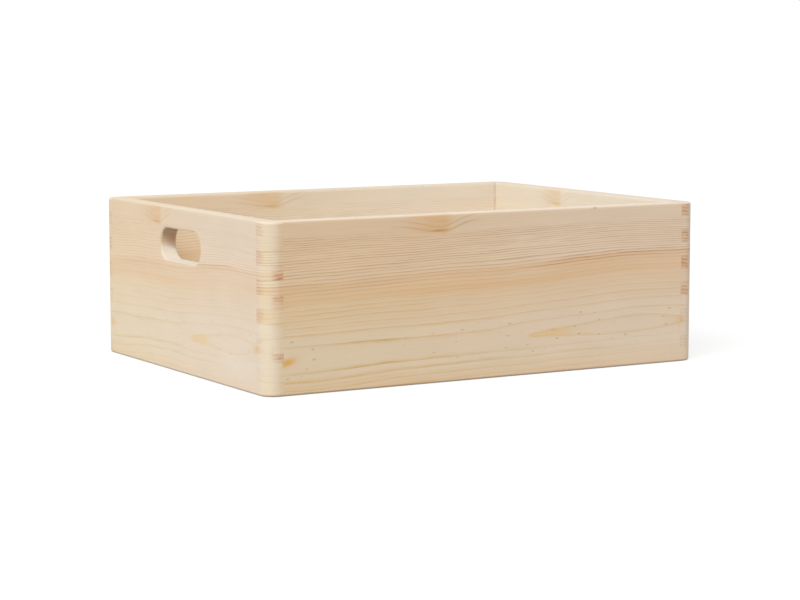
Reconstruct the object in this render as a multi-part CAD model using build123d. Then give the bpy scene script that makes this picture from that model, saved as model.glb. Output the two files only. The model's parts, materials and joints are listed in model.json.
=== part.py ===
from build123d import *
import os

# Open storage crate: four pine boards finger-jointed at the corners, a plywood bottom in a groove.
# Millimetres, +Z up, +X along the length. The origin is at the middle of the footprint, on the floor.

# Overall size, outside
LENGTH = 400.0
WIDTH = 300.0
HEIGHT = 132.0

# Boards
WALL = 15.0
CORNER_RADIUS = 12.0
EDGE_ROUND = 2.0

# Finger joints: fingers and sockets together, counted up one corner
FINGER_COUNT = 12

# Hand hole through each short end
HAND_HOLE_LENGTH = 75.0
HAND_HOLE_HEIGHT = 26.0
HAND_HOLE_DROP = 17.0
HAND_HOLE_ROUND = 2.0

# Bottom panel and the groove that holds it
PANEL_THICKNESS = 4.0
PANEL_RAISE = 8.0
GROOVE_DEPTH = 6.0
GROOVE_HEADROOM = 0.2
PANEL_SIDE_PLAY = 0.5

INSIDE_LENGTH = LENGTH - 2 * WALL
INSIDE_WIDTH = WIDTH - 2 * WALL
FINGER_PITCH = HEIGHT / FINGER_COUNT
HAND_HOLE_CENTRE = HEIGHT - HAND_HOLE_DROP - HAND_HOLE_HEIGHT / 2

STANDING = (Align.CENTER, Align.CENTER, Align.MIN)


def rounded_walls():
    """The four walls as one ring: round corners, softened rim and foot."""
    block = Box(LENGTH, WIDTH, HEIGHT, align=STANDING)
    block = fillet(block.edges().filter_by(Axis.Z), CORNER_RADIUS)
    ring = block - Box(INSIDE_LENGTH, INSIDE_WIDTH, HEIGHT, align=STANDING)
    levels = ring.faces().filter_by(Axis.Z).sort_by(Axis.Z)
    return fillet(levels[0].edges() + levels[-1].edges(), EDGE_ROUND)


def hand_holes(ring):
    """Cuts a round-ended slot through both short ends and softens its edges on both faces."""
    outline = Plane.YZ * Pos(0, HAND_HOLE_CENTRE) * SlotOverall(HAND_HOLE_LENGTH, HAND_HOLE_HEIGHT)
    slot = extrude(outline, LENGTH, both=True)
    cut = ring - slot
    return fillet(new_edges(ring, slot, combined=cut), HAND_HOLE_ROUND)


def panel_groove(ring):
    """Cuts the stopped groove that the bottom panel is trapped in."""
    groove = Box(
        INSIDE_LENGTH + 2 * GROOVE_DEPTH,
        INSIDE_WIDTH + 2 * GROOVE_DEPTH,
        PANEL_THICKNESS + GROOVE_HEADROOM,
        align=STANDING,
    )
    return ring - Pos(0, 0, PANEL_RAISE) * groove


def fingers(x_side, y_side, first):
    """Every second finger block of one corner, from the rim down: first is 0 or 1."""
    corner = Pos(x_side * INSIDE_LENGTH / 2, y_side * INSIDE_WIDTH / 2)
    outward = (
        Align.MIN if x_side > 0 else Align.MAX,
        Align.MIN if y_side > 0 else Align.MAX,
        Align.MAX,
    )
    block = Box(2 * WALL, 2 * WALL, FINGER_PITCH, align=outward)
    steps = range(first, FINGER_COUNT, 2)
    return [corner * Pos(0, 0, HEIGHT - step * FINGER_PITCH) * block for step in steps]


def long_board(ring, side):
    """Front (side -1) or back (side 1) board, with its fingers at both ends."""
    span_align = (Align.CENTER, Align.MIN if side > 0 else Align.MAX, Align.MIN)
    span = Box(INSIDE_LENGTH, WIDTH, HEIGHT, align=span_align)
    zone = span + fingers(side, side, 0) + fingers(-side, side, 1)
    return ring & zone


def end_board(ring, side):
    """Left (side -1) or right (side 1) board, with its fingers at both ends."""
    span_align = (Align.MIN if side > 0 else Align.MAX, Align.CENTER, Align.MIN)
    span = Box(LENGTH, INSIDE_WIDTH, HEIGHT, align=span_align)
    zone = span + fingers(side, -side, 0) + fingers(side, side, 1)
    return ring & zone


def bottom_panel():
    """Plywood panel, resting on the lower face of the groove with play at its edges."""
    reach = 2 * (GROOVE_DEPTH - PANEL_SIDE_PLAY)
    panel = Box(INSIDE_LENGTH + reach, INSIDE_WIDTH + reach, PANEL_THICKNESS, align=STANDING)
    return Pos(0, 0, PANEL_RAISE) * panel


walls = panel_groove(hand_holes(rounded_walls()))

nodes = {
    "front_board": long_board(walls, -1),
    "back_board": long_board(walls, 1),
    "left_end_board": end_board(walls, -1),
    "right_end_board": end_board(walls, 1),
    "bottom_panel": bottom_panel(),
}

os.makedirs("parts", exist_ok=True)
for name, solid in nodes.items():
    export_step(solid, f"parts/{name}.step")
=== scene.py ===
import json
import math

import bpy
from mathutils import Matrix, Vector

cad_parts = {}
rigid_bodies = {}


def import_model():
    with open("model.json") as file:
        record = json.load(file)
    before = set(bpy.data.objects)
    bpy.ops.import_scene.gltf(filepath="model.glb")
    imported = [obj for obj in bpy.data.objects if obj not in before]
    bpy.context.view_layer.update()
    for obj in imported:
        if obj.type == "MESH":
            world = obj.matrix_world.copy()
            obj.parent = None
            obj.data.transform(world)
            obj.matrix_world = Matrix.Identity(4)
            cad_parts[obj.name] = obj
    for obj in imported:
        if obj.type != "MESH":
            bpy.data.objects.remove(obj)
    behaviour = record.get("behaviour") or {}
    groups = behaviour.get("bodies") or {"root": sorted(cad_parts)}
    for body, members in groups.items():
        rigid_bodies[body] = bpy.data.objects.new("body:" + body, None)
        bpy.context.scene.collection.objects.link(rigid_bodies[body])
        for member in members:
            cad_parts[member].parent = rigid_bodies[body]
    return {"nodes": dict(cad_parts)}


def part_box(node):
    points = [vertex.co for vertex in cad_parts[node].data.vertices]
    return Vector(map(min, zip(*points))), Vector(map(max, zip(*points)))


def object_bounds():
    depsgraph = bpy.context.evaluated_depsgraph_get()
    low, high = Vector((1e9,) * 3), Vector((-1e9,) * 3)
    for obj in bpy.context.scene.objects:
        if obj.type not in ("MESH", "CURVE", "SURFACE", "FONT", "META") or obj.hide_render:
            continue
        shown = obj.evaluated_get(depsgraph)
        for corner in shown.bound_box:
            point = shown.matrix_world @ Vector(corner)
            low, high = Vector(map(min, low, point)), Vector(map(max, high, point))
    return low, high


# Open storage crate in sanded pine, on a pale floor in soft daylight.
# Everything is in metres in the crate's own frame; the wood's figure is worked out in millimetres.

for leftover in list(bpy.data.objects):
    bpy.data.objects.remove(leftover)

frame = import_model()
cad_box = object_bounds()

# The crate's sizes, from the frame, in millimetres
MM = 1000.0
CORNER_LOW, CORNER_HIGH = cad_box
LENGTH = (CORNER_HIGH.x - CORNER_LOW.x) * MM
WIDTH = (CORNER_HIGH.y - CORNER_LOW.y) * MM
HEIGHT = (CORNER_HIGH.z - CORNER_LOW.z) * MM
FRONT_LOW, FRONT_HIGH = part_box("front_board")
WALL = (FRONT_HIGH.y - FRONT_LOW.y) * MM
FINGER_COUNT = 12
FINGER_PITCH = HEIGHT / FINGER_COUNT


def rgba(red, green, blue):
    return (red, green, blue, 1.0)


def set_stops(ramp, greys):
    """Even steps of grey over the ramp, each at the middle of its step."""
    places = [(step + 0.5) / len(greys) for step in range(len(greys))]
    ramp.elements[1].position = places[-1]
    for place in places[1:-1]:
        ramp.elements.new(place)
    ramp.elements[0].position = places[0]
    for stop, grey in zip(ramp.elements, greys):
        stop.color = rgba(grey, grey, grey)


class Value:
    """A number that varies over a surface. Arithmetic on it adds Math nodes to its finish."""

    def __init__(self, finish, socket):
        self.finish = finish
        self.socket = socket

    def math(self, operation, *others):
        return self.finish.math(operation, self, *others)

    def __add__(self, other):
        return self.math("ADD", other)

    __radd__ = __add__

    def __sub__(self, other):
        return self.math("SUBTRACT", other)

    def __rsub__(self, other):
        return self.finish.math("SUBTRACT", other, self)

    def __mul__(self, other):
        return self.math("MULTIPLY", other)

    __rmul__ = __mul__

    def __truediv__(self, other):
        return self.math("DIVIDE", other)

    def __rtruediv__(self, other):
        return self.finish.math("DIVIDE", other, self)

    def __pow__(self, power):
        return self.math("POWER", power)

    def __abs__(self):
        return self.math("ABSOLUTE")

    def exp(self):
        return self.math("EXPONENT")

    def root(self):
        return self.math("SQRT")

    def whole(self):
        return self.math("FLOOR")

    def fraction(self):
        return self.math("FRACT")

    def least(self, other):
        return self.math("MINIMUM", other)

    def most(self, other):
        return self.math("MAXIMUM", other)

    def below(self, limit):
        return self.math("LESS_THAN", limit)

    def rise(self, low, high):
        """0 under low, 1 over high, with a soft change between them; high under low turns it round."""
        sockets = {"Value": self, "From Min": low, "From Max": high, "To Min": 0.0, "To Max": 1.0}
        return self.finish.node("ShaderNodeMapRange", {"interpolation_type": "SMOOTHSTEP"}, sockets)

    def within(self, start, full, fade, end):
        """1 from full to fade, dropping softly to 0 at start and at end."""
        return self.rise(start, full) * self.rise(end, fade)

    def bell(self, centre, width):
        """1 at centre, dropping softly on both sides."""
        offset = (self - centre) / width
        return (offset * offset * -1.0).exp()

    def lopsided(self, centre, left, right):
        """A bell with another width on each side of its centre."""
        past = self - centre
        return past.bell(0.0, right + (left - right) * past.below(0.0))


class Finish:
    """The nodes of one material, or of the room's light."""

    def __init__(self, owner):
        self.owner = owner
        owner.use_nodes = True
        self.tree = owner.node_tree
        self.tree.nodes.clear()

    def node(self, kind, settings=None, sockets=None, out=0):
        """Adds a node: its settings come first, then a value or a link for each socket."""
        made = self.tree.nodes.new(kind)
        for name, value in (settings or {}).items():
            if name == "stops":
                set_stops(made.color_ramp, value)
            else:
                setattr(made, name, value)
        for name, value in (sockets or {}).items():
            if isinstance(value, Value):
                self.tree.links.new(value.socket, made.inputs[name])
            else:
                made.inputs[name].default_value = value
        return Value(self, made.outputs[out] if made.outputs else None)

    def math(self, operation, *values):
        return self.node("ShaderNodeMath", {"operation": operation}, dict(enumerate(values)))

    def place(self):
        """The point's place in the crate, in millimetres, as three values."""
        spot = self.node("ShaderNodeTexCoord", out="Object")
        return [self.node("ShaderNodeSeparateXYZ", sockets={0: spot}, out=axis) * MM for axis in range(3)]

    def normal(self, axis):
        """How squarely the surface faces along one axis of the crate: 1 forwards, -1 backwards."""
        normal = self.node("ShaderNodeTexCoord", out="Normal")
        return self.node("ShaderNodeSeparateXYZ", sockets={0: normal}, out=axis)

    def facing(self, axis):
        """The same, either way."""
        return abs(self.normal(axis))

    def noise(self, x, y, z, detail=1.0):
        """Soft noise about 0, one step wide in each of the three values."""
        spot = self.node("ShaderNodeCombineXYZ", sockets={0: x, 1: y, 2: z})
        sockets = {"Vector": spot, "Scale": 1.0, "Detail": detail, "Roughness": 0.55}
        return self.node("ShaderNodeTexNoise", sockets=sockets) - 0.5

    def mix(self, share, first, second, way="MIX"):
        """A colour between two colours."""
        settings = {"data_type": "RGBA", "blend_type": way, "clamp_factor": True}
        sockets = {0: share, 6: first, 7: second}
        return self.node("ShaderNodeMix", settings, sockets, out=2)

    def toned(self, share, colour, tone):
        """A colour multiplied by a tone, as far as the share goes."""
        return self.mix(share, colour, tone, "MULTIPLY")

    def colour(self, red, green, blue):
        """One colour from three values."""
        return self.node("ShaderNodeCombineColor", sockets={0: red, 1: green, 2: blue})

    def surface(self, colour, roughness, height, depth):
        """Closes the material: colour, roughness and a fine relief of the given depth in metres."""
        sockets = {"Strength": 1.0, "Distance": depth, "Height": height}
        relief = self.node("ShaderNodeBump", sockets=sockets)
        sockets = {
            "Base Color": colour,
            "Roughness": roughness,
            "Normal": relief,
            "Specular IOR Level": SANDED_GLOSS,
        }
        shader = self.node("ShaderNodeBsdfPrincipled", sockets=sockets)
        self.node("ShaderNodeOutputMaterial", sockets={"Surface": shader})
        return self.owner

    def in_sight(self):
        """1 for what the camera sees, directly or in gloss and glass; 0 for what only gives light."""
        rays = ("Is Camera Ray", "Is Glossy Ray", "Is Transmission Ray")
        straight, glossy, through = [self.node("ShaderNodeLightPath", out=ray) for ray in rays]
        return (straight + glossy + through).least(1.0)


# Gloss, roughness and relief of the sanded wood; the relief is in metres
SANDED_GLOSS = 0.35
SANDED_ROUGHNESS = 0.62
PINE_RELIEF = 0.00006
PLYWOOD_RELIEF = 0.00005

# Colours of the wood, linear
PALE_WOOD = rgba(0.755, 0.632, 0.490)
WARM_WOOD = rgba(0.745, 0.560, 0.380)
YELLOW_LINE = rgba(0.620, 0.420, 0.160)
TAN_LINE = rgba(0.690, 0.450, 0.220)
BROWN_LINE = rgba(0.500, 0.320, 0.180)
STREAK_LINE = rgba(0.500, 0.270, 0.130)
LENS_WOOD = rgba(0.770, 0.575, 0.325)
KNOT_WOOD = rgba(0.680, 0.390, 0.160)
KNOT_GRAIN = rgba(0.520, 0.310, 0.170)
KNOT_HEART = rgba(0.400, 0.170, 0.060)
RESIN = rgba(0.720, 0.410, 0.090)
SPECK = rgba(0.500, 0.270, 0.090)
EDGE_WOOD = rgba(0.690, 0.590, 0.460)
LEFT_EDGE_WOOD = rgba(0.655, 0.560, 0.435)
DULL_EDGE_WOOD = rgba(0.610, 0.525, 0.430)
SILL_WOOD = rgba(0.705, 0.630, 0.545)
# painted light on the hand hole's top lip, which leans down
HOLE_LIP_PAINTED_LIGHT = rgba(0.900, 0.755, 0.590)
RED_END_LINE = rgba(0.350, 0.110, 0.060)
BROWN_END_LINE = rgba(0.370, 0.165, 0.050)
SEAM = rgba(0.340, 0.220, 0.130)
# painted shade in the upright inner corners
NOOK_PAINTED_SHADE = rgba(0.450, 0.310, 0.230)
PANEL_WOOD = rgba(0.690, 0.600, 0.475)
PANEL_FIGURE = rgba(0.600, 0.485, 0.345)

# Tones that a colour of the wood is multiplied by: zones of the figure, cut surfaces, then whole faces
UPPER_TONE = rgba(0.990, 0.930, 0.880)
HONEY_TONE = rgba(0.990, 0.955, 0.875)
CHALK_TONE = rgba(1.010, 1.050, 1.085)
END_GRAIN_TONE = rgba(0.970, 0.790, 0.690)
# painted shade in the hand hole's round ends
HOLE_END_PAINTED_SHADE = rgba(0.750, 0.652, 0.640)
# painted shade on the foot, where it meets the floor
FOOT_PAINTED_SHADE = rgba(0.840, 0.820, 0.800)
# painted shade that dims the highlight on rounded edges
ROUND_PAINTED_SHADE = rgba(0.860, 0.855, 0.850)
LONG_SIDE_TONE = rgba(0.970, 0.925, 0.875)
SHORT_SIDE_TONE = rgba(0.970, 0.965, 0.965)
CORNER_TONE = rgba(0.965, 0.985, 0.915)
# painted light on the round corners on the right, which face away from the light
RIGHT_CORNER_PAINTED_LIGHT = rgba(1.120, 1.100, 1.090)
# painted light on the inner faces: brighter and cooler than outside, by face and by place along it
INSIDE_WARM_PAINTED_LIGHT = rgba(1.042, 1.058, 1.080)
INSIDE_LONG_PAINTED_LIGHT = rgba(0.994, 1.064, 1.128)
INSIDE_SHORT_PAINTED_LIGHT = rgba(0.951, 1.074, 1.247)
INSIDE_NEAR_PAINTED_LIGHT = rgba(0.966, 1.060, 1.142)

# How the figure is laid out. Places along a board, drops below the rim, distances from the pith, depths
# under the outer face and reaches past the shoulders are in millimetres; a lean is 1 facing up, -1 down.
# FROM ends the name of a pair: where something sets in and where it is full.
# ZONE ends the name of four: the same pair, then where it starts to fade and where it is gone.
# SPOT ends the name of a soft bell's middle and width.
# NOISE ends the name of a noise's two lengths and the number that sets it apart from the others.

# Where the long sides, the inner faces and the middle of the crate begin
LONG_SIDE_FROM = (0.5, 0.9)
PAST_CORNER_FROM = (5, 16)
INSIDE_UNDER_FROM = (WALL - 3, WALL - 0.5)
INSIDE_REACH_FROM = (0.5, 0)
RIGHT_HALF_FROM = (-1, 1)
INSIDE_LONG_FROM = (60, 190)
INSIDE_NEAR_FROM = (110, 300)

# The tree that the boards were sawn from: its pith runs behind the figured face and climbs along it
PITH_DROP = 106.0
PITH_CLIMB = 0.0245
PITH_CLIMB_DROP_FROM = (8, 45)
PITH_LOW_ALONG_FROM = (110, 20)
PITH_BEHIND = 13.0
PITH_SLANT = 0.2
HEART_RING = 12.3
RING_SIZE = 15.1
RING_POWER = 1.83
RING_SHIFT = 0.11
HEART_RING_SHIFT = 0.58
RING_WANDER = 1.1
WANDER_FROM = (20, 45)
WANDER_NOISE = (6, 400, 3)

# The pith comes nearer to the face in a swell on the right, where its first rings show as a lens, and a
# little at the left end
SWELL_STEP = 2.4
SWELL_STEP_ALONG_FROM = (193, 243)
SWELL_CREST = 2.9
SWELL_ALONG = 338.0
SWELL_LEFT = 56.0
SWELL_RIGHT = 36.0
LEFT_SWELL = 1.5
LEFT_SWELL_ALONG_FROM = (125, 20)

# Below the pith the first rings lie closer together, a little less so on the left
LOW_GAP = 3.2
LOW_GAP_FROM = (9, 14)
LOW_GAP_EASED = 1.3
LOW_GAP_EASED_ALONG_SPOT = (65, 40)

# A knot breaks out at the rim: the grain dips under it, and its own lines climb to the right
KNOT_ALONG = 153.0
KNOT_DIP = 6.0
KNOT_DIP_LEFT = 24.0
KNOT_DIP_RIGHT = 17.0
KNOT_DIP_DROP_FROM = (19, 11)
KNOT_CLIMB = 3.0
KNOT_CLIMB_ALONG_FROM = (KNOT_ALONG, KNOT_ALONG + 40)
KNOT_LINES_ALONG_ZONE = (KNOT_ALONG - 52, KNOT_ALONG - 20, KNOT_ALONG + 20, KNOT_ALONG + 42)
KNOT_LOW_LINE_SPOT = (8.0, 0.8)
KNOT_HIGH_LINE_SPOT = (3.6, 0.7)
KNOT_WOOD_ALONG_ZONE = (KNOT_ALONG - 40, KNOT_ALONG - 6, KNOT_ALONG + 3, KNOT_ALONG + 13)
KNOT_WOOD_DROP_FROM = (17, 12)
KNOT_WOOD_NOISE = (30, 1.5, 41)
KNOT_HEART_ALONG_SPOT = (KNOT_ALONG - 2, 6.5)
KNOT_HEART_DROP_SPOT = (12.7, 0.9)
PIN_KNOT_WIDTH = 1.8
PIN_KNOT_DROP_FROM = (2.0, 0.8)
PIN_KNOT_UNDER_FROM = (3.0, 1.5)

# The grain's other bends: a hump on the right, and sways with the size of each
HUMP_HEIGHT = 3.0
HUMP_ALONG_SPOT = (322, 62)
HUMP_DROP_FROM = (88, 50)
LONG_SWAY = 5.0
LONG_SWAY_NOISE = (150, 70, 0)
SHORT_SWAY = 1.1
SHORT_SWAY_NOISE = (45, 14, 7)
RIPPLE = 0.9
RIPPLE_NOISE = (24, 8, 15)

# Growth lines, and the fine threads between those of the middle zone
LINE_WIDTH = 0.7
LINE_FULL = 1.1
LINE_NOISE = (4, 140, 11)
LINE_BREAK_NOISE = (3, 24, 5)
INNER_LINE_WIDER = 0.3
INNER_LINE_FROM = (24, 20)
BROAD_LINE_WIDER = 0.5
LOW_LINE_FROM = (6, 10)
MIDDLE_ZONE = (19, 25, 42, 48)
THREAD_WIDTH = 0.6
THREAD_SHIFT = 0.1
THREAD_NOISE = (2, 90, 43)
FINGER_CALM_REACH_FROM = (-2, 6)
FINGER_CALM_FROM = (28, 18)

# A red streak along the top of the warm band, on the right
STREAK_SPOT = (57.5, 2.8)
UNDER_STREAK_SPOT = (51.5, 3)
STREAK_ALONG_FROM = (225, 275)
STREAK_FAINT_ALONG_FROM = (300, 370)

# The warm band, with a crest at its top and one lower down
BAND_ZONE = (38, 44, 58, 61)
BAND_HIGH_SPOT = (56, 2.6)
BAND_LOW_SPOT = (46, 2)
BAND_THIN_ALONG_SPOT = (105, 45)
BAND_FULL_ALONG_FROM = (120, 220)
BAND_NOISE = (90, 6, 19)
TINT_ZONE = (20, 36, 57, 64)

# Where the lines change colour, where they grow faint, and the one that is brighter
TAN_LINE_FROM = (18, 24)
BROWN_LINE_FROM = (50, 60)
BELOW_RIM_FROM = (11, 15)
RIGHT_FAINT_ALONG_FROM = (185, 235)
RIGHT_FAINT_ZONE = (12, 14, 51, 57)
HEART_FAINT_ALONG_FROM = (262, 285)
HEART_FAINT_FROM = (13, 12)
MIDDLE_FAINT_ZONE = (19, 24, 46, 56)
FOOT_FAINT_ALONG_FROM = (285, 330)
FOOT_FAINT_DROP_FROM = (104, 110)
INNER_FAINT_FROM = (22, 18)
BRIGHT_LINE_SPOT = (16, 1.5)
BRIGHT_LINE_ALONG_SPOT = (95, 30)

# The lens of the heart
LENS_FROM = (HEART_RING - 1.0, HEART_RING - 2.2)
LENS_ALONG_FROM = (282, 264)
LENS_NOISE = (30, 1.4, 53)

# Tones of the figured wood
UPPER_DROP_FROM = (66, 57)
UPPER_LEFT_FROM = (290, 90)
HONEY_SPOT = (43, 9)
HONEY_ALONG_SPOT = (210, 110)
HONEY_LOW_ZONE = (18, 26, 40, 50)
HONEY_FOOT_DROP_FROM = (117, 123)
HONEY_FOOT_ALONG_FROM = (290, 240)
CHALK_DROP_SPOT = (114, 7)
CHALK_ALONG_FROM = (285, 330)
CHALK_FOOT_DROP_SPOT = (121, 7)
CHALK_FOOT_ALONG_FROM = (105, 150)
TIGHT_DROP_FROM = (12, 17)
TIGHT_FROM = (56, 60)
# painted light lower down on the inner faces
INSIDE_PAINTED_LIGHT_DROP_FROM = (20, 45)
LESS_YELLOW_FROM = (0, 380)
FIBRE_NOISE = (28, 0.7, 31)
CLOUD_NOISE = (60, 22, 23)

# Resin spots and small flecks; the slanting spot is on the long sides only
SLANT_RESIN_FROM = (0.8, 1.0)
SLANT_RESIN_ALONG = 18.0
SLANT_RESIN_LENGTH = 7.0
SLANT_RESIN_DROP = 106.5
SLANT_RESIN_HEIGHT = 3.0
SLANT_RESIN_CLIMB = 0.2
CORNER_RESIN_SPOT = (29, 7)
CORNER_RESIN_DROP_SPOT = (105, 3)
KNOT_RESIN_SPOT = (155, 5)
KNOT_RESIN_DROP_SPOT = (14.0, 1.2)
FAR_RESIN_SPOT = (388, 6)
FAR_RESIN_DROP_SPOT = (97, 3)
SPECKS_APART_ALONG = 22.0
SPECKS_APART_DROP = 9.0
SPECK_CHANCE_FROM = (0.3, 0.35)
SPECK_EDGE_FROM = (1.0, 0.2)
SPECKS_FROM = (24, 17)

# Rim, foot and the upright inner corners
CUT_LEAN_FROM = (0.35, 0.9)
ROUND_UNDER_FROM = (4, 2.5)
ROUND_INNER_UNDER_FROM = (WALL - 4, WALL - 2.5)
ROUND_DROP_FROM = (4, 3)
ROUND_REACH_FROM = (0.05, -0.05)
ROUND_LEAN_ZONE = (0.05, 0.35, 0.65, 0.9)
FOOT_LEAN_FROM = (-0.1, -0.6)
FOOT_DROP_FROM = (HEIGHT - 4, HEIGHT - 2)
NOOK_REACH_FROM = (-2.0, -0.4)
NOOK_PATCH = 9.0

# Finger ends: their rings run at a slant and a bend of their own, finger by finger
END_FACING_FROM = (0.80, 1.0)
END_REACH_FROM = (-2, -1)
END_PATCH_UNDER = 5.0
END_PATCH_DROP = 3.0
END_FINGER_STEP = 2.7
END_RING_SIZE = 2.8
END_RING_SPREAD = 2.5
END_RING_SLANT = 0.5
END_RING_BEND = 0.004
END_LINE_ZONE = (0.1, 0.75, 0.9, 1.0)

# Hand hole: its sill, its lips with their painted light and painted shade, and the painted shade in its
# round ends, which starts at a depth that goes by the lean and leaves the outer lip bare towards the front
HOLE_REACH_FROM = (-20, -30)
HOLE_DROP_ZONE = (8, 12, 50, 60)
HOLE_UNDER_FROM = (WALL - 0.5, WALL - 2)
SILL_LEAN_FROM = (-0.1, 0.4)
SILL_UNDER_FROM = (0.2, 1.0)
TOP_LIP_LEAN_FROM = (-0.2, -0.6)
TOP_LIP_UNDER_FROM = (2, 1)
LOW_LIP_LEAN_FROM = (-0.3, 0.1)
LOW_LIP_UNDER_ZONE = (0.0, 0.2, 0.5, 1.5)
SHADE_LEAST_LEAN = -0.6
SHADE_DEPTH = 4.8
SHADE_SLOPE = 9.1
SHADE_BEND = 20.4
SHADE_TWIST = 32.7
SHADE_SOFTNESS = 1.5
SHADE_SOFTER = 4.5
SHADE_SOFTER_LEAN_FROM = (-0.75, -0.2)
SHADE_UNDER_FROM = (0.2, 0.8)
BARE_LIP_PLACE_FROM = (24, 16)
BARE_LIP_UNDER_FROM = (3, 1)

# Seams between the boards
SEAM_WIDTH = 0.3
SEAM_CORE = 0.3 * SEAM_WIDTH
SHOULDER_REACH_FROM = (-0.05, 0.05)
SEAM_DROP_ZONE = (2, 4, HEIGHT - 4, HEIGHT - 2)


def growth_line(distance, width, strength):
    """Late wood at a distance from a ring's end: full at the end, fading over the width."""
    return ((distance / width / -1.0).exp() * strength).rise(0.0, LINE_FULL)


class Board:
    """One board's wood: where a point lies in it, the growth rings there, and the finish they give."""

    def __init__(self, name, layout):
        self.finish = Finish(bpy.data.materials.new(f"pine_{name}"))
        self.name = name
        self.layout = layout
        self.seed = layout["seed"]
        self.x, self.y, z = self.finish.place()
        self.along = layout["along"](self.x, self.y)
        self.depth = layout["depth"](self.x, self.y)
        self.under = layout["under"](self.x, self.y)
        self.reach = layout["reach"](self.x, self.y)
        self.drop = HEIGHT - z
        self.lean = self.finish.normal(2)
        self.find_face()
        self.bend_grain()
        self.find_pith()
        self.count_rings()

    def noise(self, along, drop, offset, detail=1.0):
        """Noise through the board, one step per given length along the grain and across it."""
        across = self.depth / drop + self.seed + offset
        return self.finish.noise(self.along / along, self.drop / drop, across, detail)

    def ring_noise(self, radius, along, offset):
        """Noise that follows the rings, one step per given length out from the pith and along it."""
        return self.finish.noise(self.radius / radius, self.along / along, self.seed + offset)

    def find_face(self):
        """The face that a point is on: long or short, its place along it, inner or outer, how clear."""
        past_corner = (LENGTH / 2 - abs(self.x)).rise(*PAST_CORNER_FROM)
        self.on_long = self.finish.facing(1).rise(*LONG_SIDE_FROM) * past_corner
        self.along_end = along_width(self.x, self.y)
        self.along_side = along_length(self.x, self.y)
        self.along_face = self.along_end + self.on_long * (self.along_side - self.along_end)
        self.inside = self.under.rise(*INSIDE_UNDER_FROM) * self.reach.rise(*INSIDE_REACH_FROM)
        self.clear = self.layout["clear"] * (1 - 0.42 * self.inside)

    def bend_grain(self):
        """The drop below the rim as the grain has it: the knot's dip, the hump and the sways."""
        along = self.along
        drop = self.drop
        dip = along.lopsided(KNOT_ALONG, KNOT_DIP_LEFT, KNOT_DIP_RIGHT) * drop.rise(*KNOT_DIP_DROP_FROM)
        self.level = drop - KNOT_DIP * dip
        self.knot_level = self.level + KNOT_CLIMB * along.rise(*KNOT_CLIMB_ALONG_FROM)
        hump = HUMP_HEIGHT * along.bell(*HUMP_ALONG_SPOT) * drop.rise(*HUMP_DROP_FROM)
        sway = LONG_SWAY * self.noise(*LONG_SWAY_NOISE) + SHORT_SWAY * self.noise(*SHORT_SWAY_NOISE)
        self.bent = self.level + hump + sway + RIPPLE * self.noise(*RIPPLE_NOISE)

    def find_pith(self):
        """How far a point is below the pith, and its distance from it."""
        along = self.along
        nearer = SWELL_STEP * along.rise(*SWELL_STEP_ALONG_FROM)
        nearer = nearer + SWELL_CREST * along.lopsided(SWELL_ALONG, SWELL_LEFT, SWELL_RIGHT)
        nearer = nearer + LEFT_SWELL * along.rise(*LEFT_SWELL_ALONG_FROM)
        behind = PITH_BEHIND - nearer + PITH_SLANT * self.depth
        climb = PITH_CLIMB * along * self.drop.rise(*PITH_CLIMB_DROP_FROM)
        below = self.bent - PITH_DROP - along.rise(*PITH_LOW_ALONG_FROM) + climb
        gap = LOW_GAP - LOW_GAP_EASED * along.bell(*LOW_GAP_EASED_ALONG_SPOT)
        self.below_pith = below + gap * below.rise(*LOW_GAP_FROM)
        self.radius = (self.below_pith * self.below_pith + behind * behind).root()

    def count_rings(self):
        """How much late wood a point has: the growth lines, the streak and the fine threads."""
        along = self.along
        radius = self.radius
        turns = radius / RING_SIZE
        rings = turns**RING_POWER - RING_SHIFT + HEART_RING_SHIFT * radius.below(HEART_RING)
        rings = rings + RING_WANDER * self.ring_noise(*WANDER_NOISE) * radius.rise(*WANDER_FROM)
        spacing = RING_SIZE / RING_POWER / turns ** (RING_POWER - 1)
        streaked = along.rise(*STREAK_ALONG_FROM) * (1 - 0.5 * along.rise(*STREAK_FAINT_ALONG_FROM))
        streaked = streaked * self.layout["clear"]
        self.streak = radius.bell(*STREAK_SPOT) * streaked
        self.under_streak = radius.bell(*UNDER_STREAK_SPOT) * streaked
        middle = radius.within(*MIDDLE_ZONE)
        broad = middle + self.below_pith.rise(*LOW_LINE_FROM) + self.streak
        width = LINE_WIDTH + INNER_LINE_WIDER * radius.rise(*INNER_LINE_FROM) + BROAD_LINE_WIDER * broad
        strength = 0.95 + 1.4 * self.ring_noise(*LINE_NOISE) + 1.2 * self.ring_noise(*LINE_BREAK_NOISE)
        line = growth_line((1 - rings.fraction()) * spacing, width, strength)
        to_thread = (1 - (rings * 2 + THREAD_SHIFT).fraction()) * spacing / 2
        thread = growth_line(to_thread, THREAD_WIDTH, 0.75 + 2.0 * self.ring_noise(*THREAD_NOISE))
        late = line.most(0.75 * middle * thread)
        calm = self.reach.rise(*FINGER_CALM_REACH_FROM) * radius.rise(*FINGER_CALM_FROM)
        self.late = late * (1 - 0.8 * calm)

    def warmth(self):
        """How warm the wood between the lines is: the band, thin in places, and a tint around it."""
        along = self.along
        radius = self.radius
        band = 0.4 * radius.within(*BAND_ZONE)
        band = band + 0.5 * radius.bell(*BAND_HIGH_SPOT) + 0.4 * radius.bell(*BAND_LOW_SPOT)
        run, height, offset = BAND_NOISE
        patchy = 0.95 - 0.22 * along.bell(*BAND_THIN_ALONG_SPOT) + 0.25 * along.rise(*BAND_FULL_ALONG_FROM)
        patchy = patchy + 1.2 * self.finish.noise(along / run, radius / height, self.seed + offset)
        band = band * patchy + 0.3 * self.streak + 0.45 * self.under_streak
        return self.layout["band"] * band.most(0.24 * radius.within(*TINT_ZONE))

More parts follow.
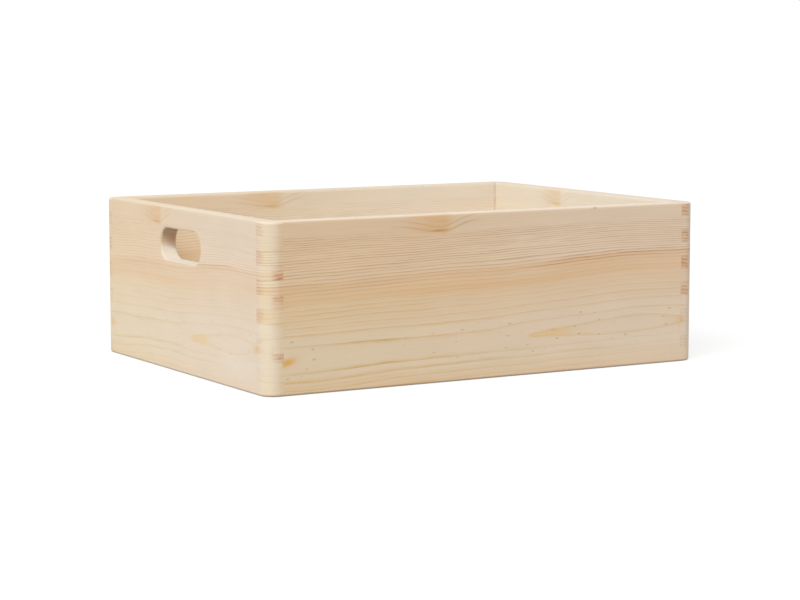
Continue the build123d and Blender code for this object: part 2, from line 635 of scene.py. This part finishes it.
    def line_colour(self):
        """Yellow by the heart, tan further out, brown above the band, darker in the streak."""
        finish = self.finish
        line = finish.mix(self.radius.rise(*TAN_LINE_FROM), YELLOW_LINE, TAN_LINE)
        line = finish.mix(self.radius.rise(*BROWN_LINE_FROM), line, BROWN_LINE)
        return finish.mix(self.streak, line, STREAK_LINE)

    def line_strength(self, lens):
        """How plainly the lines show: faint by the rim, in the middle zone, and on the right."""
        along = self.along
        radius = self.radius
        strength = 0.2 + 0.8 * self.level.rise(*BELOW_RIM_FROM)
        right = along.rise(*RIGHT_FAINT_ALONG_FROM) * radius.within(*RIGHT_FAINT_ZONE)
        heart = along.rise(*HEART_FAINT_ALONG_FROM) * radius.rise(*HEART_FAINT_FROM)
        foot = along.rise(*FOOT_FAINT_ALONG_FROM) * self.drop.rise(*FOOT_FAINT_DROP_FROM)
        strength = strength * (1 - 0.2 * right) * (1 - 0.3 * heart) * (1 - 0.6 * foot) * (1 - 0.7 * lens)
        strength = strength * (1 - 0.27 * radius.within(*MIDDLE_FAINT_ZONE))
        bright = 0.4 * radius.bell(*BRIGHT_LINE_SPOT) * along.bell(*BRIGHT_LINE_ALONG_SPOT)
        bright = bright + 0.9 * self.streak - 0.2 * radius.rise(*INNER_FAINT_FROM)
        return strength * (0.9 + bright) * self.clear

    def figure_tones(self, wood):
        """Warmer towards the rim, honey below the band and at the foot, chalky low on the right."""
        finish = self.finish
        along = self.along
        drop = self.drop
        upper = drop.rise(*UPPER_DROP_FROM) * (0.25 + 0.75 * self.along_face.rise(*UPPER_LEFT_FROM))
        wood = finish.toned(upper, wood, UPPER_TONE)
        honey = self.radius.bell(*HONEY_SPOT) * (0.55 + 0.45 * along.bell(*HONEY_ALONG_SPOT))
        honey = honey.most(0.45 * self.radius.within(*HONEY_LOW_ZONE))
        honey = honey.most(0.6 * drop.rise(*HONEY_FOOT_DROP_FROM) * along.rise(*HONEY_FOOT_ALONG_FROM))
        wood = finish.toned(self.layout["band"] * honey, wood, HONEY_TONE)
        chalk = drop.bell(*CHALK_DROP_SPOT) * along.rise(*CHALK_ALONG_FROM)
        chalk = chalk.most(0.9 * drop.bell(*CHALK_FOOT_DROP_SPOT) * along.rise(*CHALK_FOOT_ALONG_FROM))
        return finish.toned(chalk, wood, CHALK_TONE)

    def face_wood(self):
        """Long grain: pale wood with a warm band, the lens of the heart, and the growth lines."""
        finish = self.finish
        wood = finish.mix(self.warmth(), PALE_WOOD, WARM_WOOD)
        lens = self.radius.rise(*LENS_FROM) * self.along.rise(*LENS_ALONG_FROM)
        lens_wood = finish.mix(0.85 + self.noise(*LENS_NOISE), wood, LENS_WOOD)
        wood = finish.mix(lens, wood, lens_wood)
        wood = finish.mix(self.late * self.line_strength(lens), wood, self.line_colour())
        return self.figure_tones(wood)

    def knots(self, wood):
        """The knot at the rim, with its lines and dark heart, and a pin knot where the board has one."""
        finish = self.finish
        along = self.along
        drop = self.drop
        level = self.knot_level
        lines = level.bell(*KNOT_LOW_LINE_SPOT) + 0.7 * level.bell(*KNOT_HIGH_LINE_SPOT)
        lines = lines * along.within(*KNOT_LINES_ALONG_ZONE)
        wood = finish.mix(0.55 * lines * self.clear, wood, KNOT_GRAIN)
        brown = along.within(*KNOT_WOOD_ALONG_ZONE) * drop.rise(*KNOT_WOOD_DROP_FROM)
        brown = brown * (0.65 + self.noise(*KNOT_WOOD_NOISE))
        wood = finish.mix((0.4 + 0.35 * self.clear) * brown, wood, KNOT_WOOD)
        heart = along.bell(*KNOT_HEART_ALONG_SPOT) * drop.bell(*KNOT_HEART_DROP_SPOT)
        wood = finish.mix(0.6 * heart * self.clear, wood, KNOT_HEART)
        if "pin_knot" in self.layout:
            pin = along.bell(self.layout["pin_knot"], PIN_KNOT_WIDTH) * drop.rise(*PIN_KNOT_DROP_FROM)
            wood = finish.mix(0.7 * pin * self.under.rise(*PIN_KNOT_UNDER_FROM), wood, KNOT_HEART)
        return wood

    def resin(self, wood):
        """Spots of resin: one slanting, at the left of the long sides, and three fainter ones."""
        drop = self.drop
        past = self.along_side - SLANT_RESIN_ALONG
        slant_drop = SLANT_RESIN_DROP - SLANT_RESIN_CLIMB * past
        slant = past.bell(0.0, SLANT_RESIN_LENGTH) * drop.bell(slant_drop, SLANT_RESIN_HEIGHT)
        corner = self.along_end.bell(*CORNER_RESIN_SPOT) * drop.bell(*CORNER_RESIN_DROP_SPOT)
        knot = self.along.bell(*KNOT_RESIN_SPOT) * drop.bell(*KNOT_RESIN_DROP_SPOT)
        far = self.along_face.bell(*FAR_RESIN_SPOT) * drop.bell(*FAR_RESIN_DROP_SPOT)
        faint = (1 - self.on_long) * corner + knot + far
        resin = self.on_long.rise(*SLANT_RESIN_FROM) * slant + 0.5 * faint
        return self.finish.mix(0.95 * resin, wood, RESIN)

    def specks(self, wood):
        """A few small brown flecks in the widest rings."""
        finish = self.finish
        place = {0: self.along / SPECKS_APART_ALONG, 1: self.drop / SPECKS_APART_DROP, 2: self.seed}
        settings = {"voronoi_dimensions": "2D"}
        sockets = {"Vector": finish.node("ShaderNodeCombineXYZ", sockets=place), "Scale": 1.0}
        near = finish.node("ShaderNodeTexVoronoi", settings, sockets, out="Distance")
        colour = finish.node("ShaderNodeTexVoronoi", settings, sockets, out="Color")
        chance = finish.node("ShaderNodeSeparateColor", sockets={0: colour}, out=0)
        fleck = (near / (0.05 + 0.07 * chance)).rise(*SPECK_EDGE_FROM)
        fleck = fleck * chance.rise(*SPECK_CHANCE_FROM) * self.radius.rise(*SPECKS_FROM)
        return finish.mix(fleck * (0.1 + 0.45 * chance) * self.clear, wood, SPECK)

    def face_tones(self, wood):
        """A tone for each face outside, painted light on the inner faces, and a tone for the round
        corners, painted light on those on the right.
        """
        finish = self.finish
        outside = finish.mix(self.on_long, SHORT_SIDE_TONE, LONG_SIDE_TONE)
        share = self.along_face.rise(*INSIDE_LONG_FROM)
        inside_long_light = finish.mix(share, INSIDE_WARM_PAINTED_LIGHT, INSIDE_LONG_PAINTED_LIGHT)
        share = self.along_end.rise(*INSIDE_NEAR_FROM)
        inside_short_light = finish.mix(share, INSIDE_SHORT_PAINTED_LIGHT, INSIDE_NEAR_PAINTED_LIGHT)
        inside = finish.mix(self.on_long, inside_short_light, inside_long_light)
        # painted light on the inner faces
        wood = finish.toned(1.0, wood, finish.mix(self.inside, outside, inside))
        # the round corners: a yellower tone on the left, painted light on the right
        corner = 2 * finish.facing(0) * finish.facing(1)
        tone = finish.mix(self.x.rise(*RIGHT_HALF_FROM), CORNER_TONE, RIGHT_CORNER_PAINTED_LIGHT)
        return finish.toned(corner, wood, tone)

    def cut_edges(self, wood):
        """Rim and foot, cut through the thickness with little figure; painted shade dims the highlight on
        the rounded edges.
        """
        finish = self.finish
        wood = finish.mix(0.7 * abs(self.lean).rise(*CUT_LEAN_FROM), wood, self.layout["edge"])
        rounded = self.under.rise(*ROUND_UNDER_FROM) + 0.6 * self.under.rise(*ROUND_INNER_UNDER_FROM)
        rounded = rounded * self.drop.rise(*ROUND_DROP_FROM) * self.reach.rise(*ROUND_REACH_FROM)
        # painted shade on rounded edges that lean up, dimming their highlight
        return finish.toned(rounded * self.lean.within(*ROUND_LEAN_ZONE), wood, ROUND_PAINTED_SHADE)

    def end_wood(self, wood):
        """Where the surface cuts across the grain: redder, each finger with its own dark ring lines."""
        finish = self.finish
        drop = self.drop
        under = self.under
        facing = finish.facing(self.layout["axis"]).rise(*END_FACING_FROM)
        facing = facing * self.reach.rise(*END_REACH_FROM)
        marks = finish.node("ShaderNodeValToRGB", {"stops": END_MARKS[self.name]}, {0: drop / HEIGHT})
        patches = finish.noise(under / END_PATCH_UNDER, drop / END_PATCH_DROP, self.seed)
        marks = marks * (0.85 + 1.6 * patches)
        finger = (drop / FINGER_PITCH).whole()
        chance = finish.noise(END_FINGER_STEP * finger, self.seed, 0.5)
        slanted = drop + (END_RING_SLANT * chance + END_RING_BEND * under) * under
        rings = slanted / (END_RING_SIZE + END_RING_SPREAD * chance)
        line = rings.fraction().within(*END_LINE_ZONE)
        end = finish.toned(1.0, wood, END_GRAIN_TONE)
        end = finish.mix((0.6 + 0.6 * chance) * line, end, self.layout["end_line"])
        return finish.mix((facing * marks).least(1.0), wood, end)

    def hole_wood(self, wood):
        """The hand hole: painted shade in the round ends and on the lower lip, painted light on the top
        lip, the sill clean and pale.
        """
        finish = self.finish
        lean = self.lean
        under = self.under
        in_hole = self.reach.rise(*HOLE_REACH_FROM) * self.drop.within(*HOLE_DROP_ZONE)
        in_hole = in_hole * under.rise(*HOLE_UNDER_FROM)
        sill = lean.rise(*SILL_LEAN_FROM) * under.rise(*SILL_UNDER_FROM)
        wood = finish.mix(in_hole * sill, wood, SILL_WOOD)
        # painted light on the top lip, which leans down and gets little light
        painted_lip_light = lean.rise(*TOP_LIP_LEAN_FROM) * under.rise(*TOP_LIP_UNDER_FROM)
        wood = finish.mix(in_hole * painted_lip_light, wood, HOLE_LIP_PAINTED_LIGHT)
        low_lip = lean.rise(*LOW_LIP_LEAN_FROM) * under.within(*LOW_LIP_UNDER_ZONE)
        # painted shade on the hole's lower lip, dimming its highlight
        wood = finish.toned(in_hole * low_lip, wood, ROUND_PAINTED_SHADE)
        # painted shade in the round ends, starting deeper where the surface leans up
        turn = lean.most(SHADE_LEAST_LEAN)
        depth = SHADE_DEPTH + (SHADE_SLOPE + (SHADE_BEND + SHADE_TWIST * turn) * turn) * turn
        softness = SHADE_SOFTNESS + SHADE_SOFTER * lean.rise(*SHADE_SOFTER_LEAN_FROM)
        shade = ((under - depth) / softness).rise(-1.0, 1.0) * under.rise(*SHADE_UNDER_FROM)
        bare_lip = self.y.rise(*BARE_LIP_PLACE_FROM) * under.rise(*BARE_LIP_UNDER_FROM)
        return finish.toned(in_hole * shade * (1 - bare_lip), wood, HOLE_END_PAINTED_SHADE)

    def painted_foot_shade(self, wood):
        """The rounded lower edge, darkened with painted shade where it meets the floor."""
        foot = self.lean.rise(*FOOT_LEAN_FROM) * self.drop.rise(*FOOT_DROP_FROM)
        return self.finish.toned(foot, wood, FOOT_PAINTED_SHADE)

    def painted_nook_shade(self, wood):
        """The upright inner corners, with patchy painted shade where the boards meet."""
        finish = self.finish
        dark = 0.35 + 0.9 * finish.noise(self.drop / NOOK_PATCH, self.seed, 0.5)
        return finish.mix(dark * self.inside * self.reach.rise(*NOOK_REACH_FROM), wood, NOOK_PAINTED_SHADE)

    def shades(self, wood, fibre):
        """Light and dark fibres and clouds, brighter tight rings, painted light lower down on the inner
        faces, yellower on the left.
        """
        finish = self.finish
        tight = self.drop.rise(*TIGHT_DROP_FROM) * self.radius.rise(*TIGHT_FROM)
        # painted light lower down on the inner faces, where less light reaches
        inside = self.inside * self.drop.rise(*INSIDE_PAINTED_LIGHT_DROP_FROM)
        shade = 1 + 0.03 * tight + 0.08 * inside + 0.10 * fibre + 0.08 * self.noise(*CLOUD_NOISE)
        blue = shade * (0.94 + 0.08 * self.along_face.rise(*LESS_YELLOW_FROM))
        return finish.toned(1.0, wood, finish.colour(shade, shade, blue))

    def seam(self):
        """Hairline where a finger, its tip or a shoulder meets the next board."""
        reach = self.reach
        fingers = reach.rise(*SHOULDER_REACH_FROM)
        step = self.drop / FINGER_PITCH
        side = abs((step + 0.5).fraction() - 0.5) * FINGER_PITCH
        sides = side.rise(SEAM_WIDTH, SEAM_CORE) * self.drop.within(*SEAM_DROP_ZONE) * fingers
        tip = self.under.rise(WALL - SEAM_WIDTH, WALL - SEAM_CORE) * fingers
        other = abs((step / 2).fraction().below(0.5) - self.layout["leads"](self.x, self.y))
        shoulder = reach.rise(-SEAM_WIDTH, -SEAM_CORE) * (1 - fingers) * other
        return sides.most(tip).most(shoulder)

    def material(self):
        """The finished wood: the figure, tones, cut surfaces and seams, with roughness and relief."""
        fibre = self.noise(*FIBRE_NOISE, detail=2.0)
        seam = self.seam()
        wood = self.specks(self.resin(self.knots(self.face_wood())))
        wood = self.end_wood(self.cut_edges(self.face_tones(wood)))
        # painted shade in the hand hole, on the foot and in the upright inner corners
        wood = self.painted_nook_shade(self.painted_foot_shade(self.hole_wood(wood)))
        wood = self.finish.mix(0.10 * seam, self.shades(wood, fibre), SEAM)
        roughness = SANDED_ROUGHNESS - 0.10 * self.late + 0.12 * fibre
        height = 0.35 * self.late + 0.8 * fibre - 0.6 * seam
        return self.finish.surface(wood, roughness, height, PINE_RELIEF)


# Plywood panel: the width of the veneer's bands, how far they sway, and the run of sway and fibres
VENEER_BAND = 26.0
VENEER_SWAY = 5.0
VENEER_SWAY_RUN = 180.0
VENEER_SWAY_WIDTH = 45.0
VENEER_SWAY_SEED = 2.0
VENEER_FIBRE_RUN = 30.0
VENEER_FIBRE_WIDTH = 0.8
VENEER_ZONE = (0.0, 0.75, 0.9, 1.0)


def plywood(name):
    """Rotary-cut veneer with a faint, broad figure along the crate."""
    finish = Finish(bpy.data.materials.new(name))
    x, y, z = finish.place()
    sway = finish.noise(x / VENEER_SWAY_RUN, y / VENEER_SWAY_WIDTH, VENEER_SWAY_SEED, detail=2.0)
    figure = (y / VENEER_BAND + VENEER_SWAY * sway).fraction().within(*VENEER_ZONE)
    fibre = finish.noise(x / VENEER_FIBRE_RUN, y / VENEER_FIBRE_WIDTH, z, detail=2.0)
    wood = finish.mix(0.4 * figure, PANEL_WOOD, PANEL_FIGURE)
    shade = 1 + 0.12 * fibre
    wood = finish.toned(1.0, wood, finish.colour(shade, shade, shade))
    return finish.surface(wood, SANDED_ROUGHNESS + 0.1 * fibre, fibre, PLYWOOD_RELIEF)


# The figure is laid out on a board as long as the crate. The short boards carry it drawn together and
# shifted a little along, the right one by another amount.
SHORT_SHIFT = 6.0
RIGHT_SHIFT = 10.0


def along_length(x, y):
    return x + LENGTH / 2


def along_width(x, y):
    return (WIDTH / 2 - y + SHORT_SHIFT) * (LENGTH / WIDTH)


def past_long_shoulder(x, y):
    return abs(x) - (LENGTH / 2 - WALL)


def past_end_shoulder(x, y):
    return abs(y) - (WIDTH / 2 - WALL)


# What each board has of its own:
# along, depth, under and reach give a point's place along the grain, its depth behind the figured face and
# under the outer face, and its reach past the shoulders; leads is 1 at the end that has the top finger
# axis is the axis that the grain runs along, and seed sets the board's noise apart
# clear and band say how strong its lines and its warm zones are
# edge and end_line are the colours of its rim and of the lines on its finger ends
# pin_knot is a place along its rim
BOARDS = {
    "front_board": {
        "along": along_length,
        "depth": lambda x, y: y + WIDTH / 2,
        "under": lambda x, y: y + WIDTH / 2,
        "reach": past_long_shoulder,
        "leads": lambda x, y: x.below(0),
        "axis": 0,
        "seed": 0.0,
        "clear": 1.0,
        "band": 1.0,
        "edge": EDGE_WOOD,
        "end_line": BROWN_END_LINE,
        "pin_knot": 298,
    },
    "back_board": {
        "along": along_length,
        "depth": lambda x, y: y - WIDTH / 2 + WALL,
        "under": lambda x, y: WIDTH / 2 - y,
        "reach": past_long_shoulder,
        "leads": lambda x, y: 1 - x.below(0),
        "axis": 0,
        "seed": 31.0,
        "clear": 0.9,
        "band": 0.9,
        "edge": DULL_EDGE_WOOD,
        "end_line": RED_END_LINE,
    },
    "left_end_board": {
        "along": along_width,
        "depth": lambda x, y: x + LENGTH / 2,
        "under": lambda x, y: x + LENGTH / 2,
        "reach": past_end_shoulder,
        "leads": lambda x, y: 1 - y.below(0),
        "axis": 1,
        "seed": 57.0,
        "clear": 0.53,
        "band": 0.62,
        "edge": LEFT_EDGE_WOOD,
        "end_line": RED_END_LINE,
    },
    "right_end_board": {
        "along": lambda x, y: along_width(x, y) - RIGHT_SHIFT,
        "depth": lambda x, y: x - LENGTH / 2 + WALL,
        "under": lambda x, y: LENGTH / 2 - x,
        "reach": past_end_shoulder,
        "leads": lambda x, y: y.below(0),
        "axis": 1,
        "seed": 83.0,
        "clear": 0.6,
        "band": 0.8,
        "edge": DULL_EDGE_WOOD,
        "end_line": BROWN_END_LINE,
    },
}

# How strongly the end grain shows on the fingers of each board, from the rim down, two steps to a finger
END_MARKS = {
    "front_board": (
        [0.40, 0.40, 0.50, 0.30, 0.55, 0.45, 0.30, 0.60, 0.40, 0.50, 0.50, 0.40]
        + [0.45, 0.35, 0.20, 0.40, 0.10, 0.20, 0.30, 0.10, 0.10, 0.10, 0.10, 0.10]
    ),
    "back_board": (
        [0.70, 0.40, 0.15, 0.10, 0.50, 0.75, 0.20, 0.25, 0.60, 0.50, 0.10, 0.20]
        + [0.30, 0.60, 0.10, 0.10, 0.30, 0.20, 0.10, 0.10, 0.20, 0.20, 0.10, 0.05]
    ),
    "left_end_board": (
        [0.50, 0.30, 0.05, 0.05, 0.35, 0.55, 0.20, 1.00, 0.50, 0.40, 0.85, 0.30]
        + [0.30, 0.50, 0.10, 0.05, 0.30, 0.60, 0.85, 0.00, 0.10, 0.20, 0.10, 0.10]
    ),
    "right_end_board": (
        [0.90, 1.00, 0.45, 0.60, 1.00, 0.90, 0.40, 0.30, 1.00, 1.00, 0.50, 0.30]
        + [0.60, 1.00, 0.20, 0.30, 0.25, 0.15, 0.20, 0.10, 0.45, 0.30, 0.10, 0.10]
    ),
}


def dress(node, material):
    """Gives a CAD node its finish."""
    slots = frame["nodes"][node].data.materials
    slots.clear()
    slots.append(material)


for node, layout in BOARDS.items():
    dress(node, Board(node, layout).material())
dress("bottom_panel", plywood("plywood_panel"))


# Floor, in metres
FLOOR_REACH = 12.0
FLOOR_GREY = rgba(0.40, 0.40, 0.40)
FLOOR_SHADOW = rgba(0.20, 0.20, 0.20)
FLOOR_GLOW = 0.79
WHITE = rgba(1.0, 1.0, 1.0)


def pale_floor():
    """Grey in the light that it gives back to the crate; in sight it is white with a soft shadow."""
    finish = Finish(bpy.data.materials.new("pale_floor"))
    matt = finish.node("ShaderNodeBsdfDiffuse", sockets={"Color": FLOOR_GREY})
    shadow = finish.node("ShaderNodeBsdfDiffuse", sockets={"Color": FLOOR_SHADOW})
    glow = finish.node("ShaderNodeEmission", sockets={"Color": WHITE, "Strength": FLOOR_GLOW})
    bright = finish.node("ShaderNodeAddShader", sockets={0: shadow, 1: glow})
    shader = finish.node("ShaderNodeMixShader", sockets={0: finish.in_sight(), 1: matt, 2: bright})
    finish.node("ShaderNodeOutputMaterial", sockets={"Surface": shader})
    return finish.owner


floor_mesh = bpy.data.meshes.new("floor")
corners = [(-1, -1), (1, -1), (1, 1), (-1, 1)]
floor_mesh.from_pydata([(x * FLOOR_REACH, y * FLOOR_REACH, 0.0) for x, y in corners], [], [(0, 1, 2, 3)])
floor_mesh.materials.append(pale_floor())
floor = bpy.data.objects.new("floor", floor_mesh)
bpy.context.scene.collection.objects.link(floor)


# Light: an even pale room, white in sight, and broad daylight from the side at the upper left
ROOM_LIGHT = 0.69
ROOM_IN_SIGHT = 1.0
DAYLIGHT = 0.765
DAYLIGHT_SIDE = (-0.610, -0.405, 0.681)
DAYLIGHT_SPREAD = 32.0

daylight = bpy.data.lights.new("daylight", "SUN")
daylight.energy = DAYLIGHT * math.pi
daylight.angle = math.radians(DAYLIGHT_SPREAD)
lamp = bpy.data.objects.new("daylight", daylight)
lamp.rotation_euler = Vector(DAYLIGHT_SIDE).to_track_quat("Z", "Y").to_euler()
bpy.context.scene.collection.objects.link(lamp)

room = Finish(bpy.data.worlds.new("pale_room"))
bpy.context.scene.world = room.owner
lit = room.node("ShaderNodeBackground", sockets={"Color": WHITE, "Strength": ROOM_LIGHT})
seen = room.node("ShaderNodeBackground", sockets={"Color": WHITE, "Strength": ROOM_IN_SIGHT})
shader = room.node("ShaderNodeMixShader", sockets={0: room.in_sight(), 1: lit, 2: seen})
room.node("ShaderNodeOutputWorld", sockets={"Surface": shader})


# Camera: from the front left, a little above the rim; place in metres, angles in degrees
CAMERA_PLACE = (-0.99084, -1.70028, 0.27881)
CAMERA_TILT = 6.7174
CAMERA_TURN = -30.3237
CAMERA_LENS = 105.773
CAMERA_SENSOR = 36.0

camera = bpy.data.cameras.new("camera")
camera.sensor_fit = "HORIZONTAL"
camera.sensor_width = CAMERA_SENSOR
camera.lens = CAMERA_LENS
viewer = bpy.data.objects.new("camera", camera)
viewer.location = CAMERA_PLACE
viewer.rotation_euler = (math.radians(90 - CAMERA_TILT), 0.0, math.radians(CAMERA_TURN))
bpy.context.scene.collection.objects.link(viewer)
bpy.context.scene.camera = viewer
bpy.context.scene.view_settings.view_transform = "Standard"
